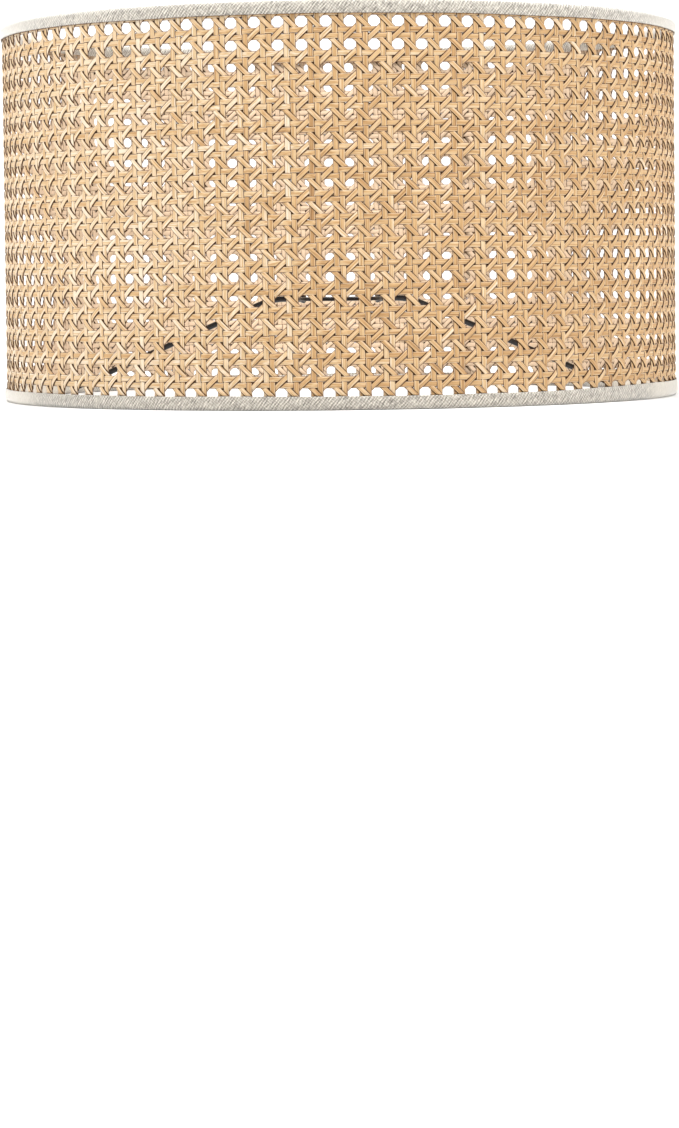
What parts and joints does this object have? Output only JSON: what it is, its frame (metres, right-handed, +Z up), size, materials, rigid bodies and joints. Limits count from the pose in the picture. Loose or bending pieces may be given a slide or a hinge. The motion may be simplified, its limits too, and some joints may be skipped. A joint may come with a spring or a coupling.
{
  "type": "drum lamp shade",
  "caption": "Drum lamp shade of woven cane webbing on wire rings, bound with linen tape at both rims and carried by a three-armed spider with a flat fitter ring.",
  "frame": {"origin": "centre of the bottom rim, on the plane that the shade stands on", "axes": "+Z up along the drum's axis, -Y to the front, where one spider arm points"},
  "size_m": [0.4572, 0.4572, 0.251],
  "materials": {
    "cane": "natural cane skin, satin, with lengthwise grain and lighter edges",
    "linen_tape": "heathered grey and cream linen cut on the bias, matt",
    "black_wire": "gloss black paint"
  },
  "bodies": {
    "root": {"cane_panel": "cane", "top_trim_tape": "linen_tape", "bottom_trim_tape": "linen_tape", "top_wire_ring": "black_wire", "bottom_wire_ring": "black_wire", "fitter_ring": "black_wire", "spider_arm_front": "black_wire", "spider_arm_right": "black_wire", "spider_arm_left": "black_wire"}
  },
  "joints": []
}
